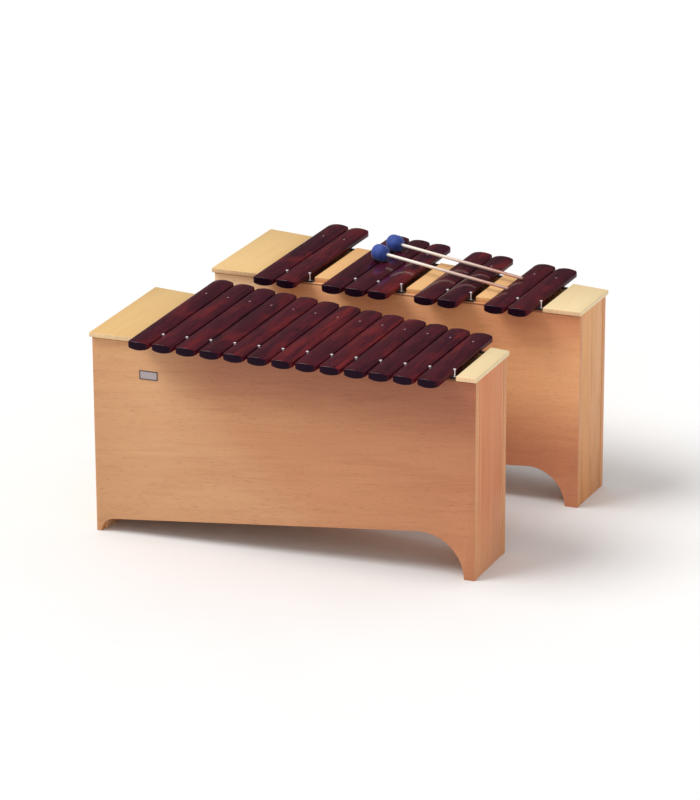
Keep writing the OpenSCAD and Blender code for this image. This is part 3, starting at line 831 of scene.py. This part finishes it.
# The shaft's end stops WALL short of the head's far face; the bore's mouth is eased.
WALL, BORE_GAP, MOUTH, MOUTH_DEPTH = 0.008, 0.0001, 0.0012, 0.0008
SOCKET = HEAD_L / 2 - WALL
QUARTER_HEAD = [math.pi / 2 * j / 12 for j in range(13)]
QUARTER_TAIL = [math.pi / 2 * j / 6 for j in range(6)]


def head_profile():
    """Barrel with rounded rims, bored from the shaft's side."""
    rim = [(HEAD_R - HEAD_ROUND + HEAD_ROUND * math.sin(a),
            -HEAD_L / 2 + HEAD_ROUND * (1 - math.cos(a))) for a in QUARTER_HEAD]
    side = [(HEAD_R, -HEAD_L / 2 + HEAD_ROUND + (HEAD_L - 2 * HEAD_ROUND) * j / 6)
            for j in range(1, 6)]
    bore = SHAFT_R + BORE_GAP
    return [(0, -HEAD_L / 2), *rim, *side, *((r, -z) for r, z in reversed(rim)),
            (SHAFT_R + MOUTH, HEAD_L / 2), (bore, HEAD_L / 2 - MOUTH_DEPTH), (bore, -SOCKET),
            (0, -SOCKET)]


def shaft_profile(length):
    """Round stick with an eased end in the head and a domed butt."""
    steps = [(SHAFT_R, length * f) for f in (0.1, 0.25, 0.4, 0.55, 0.7, 0.85)]
    butt = [(SHAFT_R * math.cos(a), length - SHAFT_R + SHAFT_R * math.sin(a))
            for a in QUARTER_TAIL]
    return [(0, 0), (SHAFT_R - 0.0005, 0), (SHAFT_R, 0.0006), *steps, *butt, (0, length)]


for name in ("mallet_1", "mallet_2"):
    # The shaft's axis and its end in the head, from the CAD node.
    pts = node_points(name + "_shaft")
    _, _, vt = np.linalg.svd(pts - pts.mean(0))
    axis = vt[0] * (1 if vt[0][0] > 0 else -1)
    t = (pts - (pts.max(0) + pts.min(0)) / 2) @ axis
    start = Vector(pts[np.abs(t - t.min()) < 1e-5].mean(0))
    axis = Vector(axis)
    length = float(t.max() - t.min())
    bm = bmesh.new()
    lathe(bm, head_profile(), start + axis * SOCKET, 48, axis)
    make(name + "_head_ball", bm, ["mallet_head"], name + "_head", 50)
    bm = bmesh.new()
    lathe(bm, shaft_profile(length), start, 28, axis)
    me = make(name + "_shaft_stick", bm, ["mallet_shaft"], name + "_shaft", 50).data
    me.attributes.new("along", "FLOAT", "POINT").data.foreach_set(
        "value", [float((v.co - start).dot(axis)) / length for v in me.vertices])

# ---------------------------------------------------------------- stage

bm = bmesh.new()
bmesh.ops.create_grid(bm, x_segments=2, y_segments=2, size=30)
floor = linked("floor", bm)
paint_tree = Tree("floor_paint")
cloud = paint_tree.span(paint_tree.noise((3, 3, 3), 3, 0.5), 0.3, 0.7)
paint_tree.color(paint_tree.mix(cloud, (0.93, 0.93, 0.93), (0.95, 0.95, 0.95)))
paint_tree.set(Roughness=0.9)
floor.data.materials.append(paint_tree.mat)

# White studio light; what polished wood mirrors is the studio's dark side.
SKY, MIRRORED = 0.62, 0.065
scene = bpy.context.scene
scene.world = bpy.data.worlds.new("studio")
scene.world.use_nodes = True
nodes, links = scene.world.node_tree.nodes, scene.world.node_tree.links
sky, dim = nodes["Background"], nodes.new("ShaderNodeBackground")
for node, strength in ((sky, SKY), (dim, MIRRORED)):
    node.inputs["Color"].default_value = (1.0, 1.0, 1.0, 1)
    node.inputs["Strength"].default_value = strength
pick = nodes.new("ShaderNodeMixShader")
links.new(nodes.new("ShaderNodeLightPath").outputs["Is Glossy Ray"], pick.inputs[0])
links.new(sky.outputs[0], pick.inputs[1])
links.new(dim.outputs[0], pick.inputs[2])
links.new(pick.outputs[0], nodes["World Output"].inputs["Surface"])

KEY_WAY = Vector((0.62, 0.36, -1.0))
key_data = bpy.data.lights.new("key", "SUN")
key_data.energy, key_data.angle, key_data.color = 1.95, math.radians(34), (1.0, 0.99, 0.97)
key = bpy.data.objects.new("key", key_data)
key.location = -KEY_WAY * 4
key.rotation_euler = KEY_WAY.to_track_quat("-Z", "Y").to_euler()
scene.collection.objects.link(key)

CAM_RIGHT = Vector((0.91326137, 0.40735576, -0.00386754))
CAM_UP = Vector((-0.14203856, 0.32730925, 0.93418077))
CAM_BACK = Vector((0.38180979, -0.85260187, 0.35677912))
CAM_PLACE = Vector((4.737772, -9.189484, 4.230127))
cam_data = bpy.data.cameras.new("camera")
cam_data.sensor_fit, cam_data.sensor_width = "AUTO", 36
cam_data.lens, cam_data.clip_end = 195.937, 100
cam = bpy.data.objects.new("camera", cam_data)
scene.collection.objects.link(cam)
view = Matrix((CAM_RIGHT, CAM_UP, CAM_BACK)).transposed().to_4x4()
view.translation = CORNER_A + CAM_PLACE
cam.matrix_world = view
scene.camera = cam
scene.view_settings.view_transform = "Standard"
